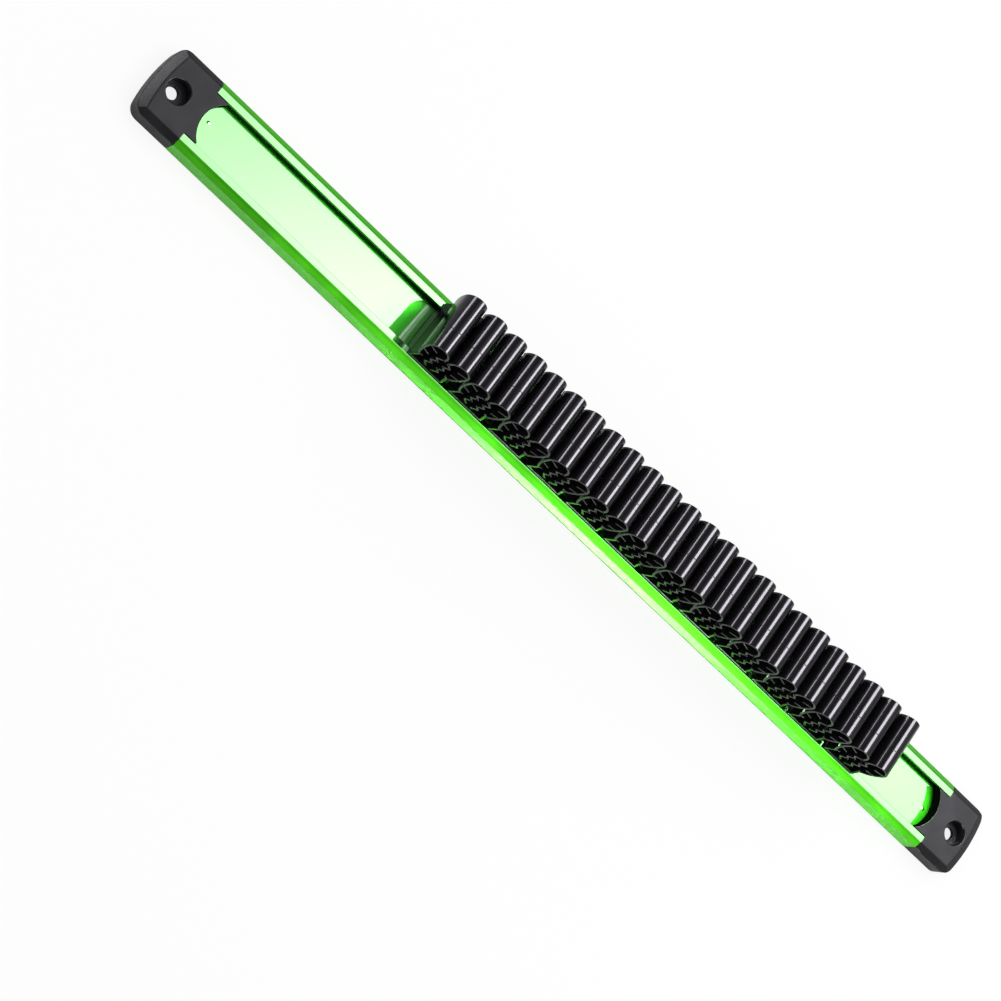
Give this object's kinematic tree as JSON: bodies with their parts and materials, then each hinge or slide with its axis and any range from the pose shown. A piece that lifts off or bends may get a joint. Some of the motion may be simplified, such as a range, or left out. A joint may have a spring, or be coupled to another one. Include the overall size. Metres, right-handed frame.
{
  "type": "screwdriver rack",
  "caption": "Slotted aluminium rail with a magnetic back and capped ends with screw holes, carrying a row of sliding sprung clips that grip screwdriver shafts.",
  "frame": {"origin": "middle of the back face, at the centre of the overall length and width", "axes": "+X along the rail towards the end where less of the slot is bare, +Y across the rail, +Z out of the slot, the way the clips stand"},
  "size_m": [0.464, 0.032, 0.0376],
  "materials": {
    "green_aluminium": "bright green anodised, satin",
    "magnet_rubber": "matt charcoal flexible magnet",
    "cap_plastic": "charcoal, finely textured moulding",
    "clip_plastic": "glossy black"
  },
  "bodies": {
    "rail": {"rail": "green_aluminium", "magnet_strip": "magnet_rubber", "end_cap_left": "cap_plastic", "end_cap_right": "cap_plastic"},
    "clip_01": {"clip_01": "clip_plastic"},
    "clip_02": {"clip_02": "clip_plastic"},
    "clip_03": {"clip_03": "clip_plastic"},
    "clip_04": {"clip_04": "clip_plastic"},
    "clip_05": {"clip_05": "clip_plastic"},
    "clip_06": {"clip_06": "clip_plastic"},
    "clip_07": {"clip_07": "clip_plastic"},
    "clip_08": {"clip_08": "clip_plastic"},
    "clip_09": {"clip_09": "clip_plastic"},
    "clip_10": {"clip_10": "clip_plastic"},
    "clip_11": {"clip_11": "clip_plastic"},
    "clip_12": {"clip_12": "clip_plastic"}
  },
  "joints": [
    {"name": "clip_06_slide", "type": "slide", "parent": "rail", "child": "clip_06", "axis": [1, 0, 0], "range_m": [-0.0185, 0]},
    {"name": "clip_05_slide", "type": "slide", "parent": "clip_06", "child": "clip_05", "axis": [1, 0, 0], "range_m": [-0.0185, 0]},
    {"name": "clip_04_slide", "type": "slide", "parent": "clip_05", "child": "clip_04", "axis": [1, 0, 0], "range_m": [-0.0185, 0]},
    {"name": "clip_03_slide", "type": "slide", "parent": "clip_04", "child": "clip_03", "axis": [1, 0, 0], "range_m": [-0.0185, 0]},
    {"name": "clip_02_slide", "type": "slide", "parent": "clip_03", "child": "clip_02", "axis": [1, 0, 0], "range_m": [-0.0185, 0]},
    {"name": "clip_01_slide", "type": "slide", "parent": "clip_02", "child": "clip_01", "axis": [1, 0, 0], "range_m": [-0.0185, 0]},
    {"name": "clip_07_slide", "type": "slide", "parent": "rail", "child": "clip_07", "axis": [1, 0, 0], "range_m": [0, 0.0062]},
    {"name": "clip_08_slide", "type": "slide", "parent": "clip_07", "child": "clip_08", "axis": [1, 0, 0], "range_m": [0, 0.0062]},
    {"name": "clip_09_slide", "type": "slide", "parent": "clip_08", "child": "clip_09", "axis": [1, 0, 0], "range_m": [0, 0.0062]},
    {"name": "clip_10_slide", "type": "slide", "parent": "clip_09", "child": "clip_10", "axis": [1, 0, 0], "range_m": [0, 0.0062]},
    {"name": "clip_11_slide", "type": "slide", "parent": "clip_10", "child": "clip_11", "axis": [1, 0, 0], "range_m": [0, 0.0062]},
    {"name": "clip_12_slide", "type": "slide", "parent": "clip_11", "child": "clip_12", "axis": [1, 0, 0], "range_m": [0, 0.0062]}
  ]
}
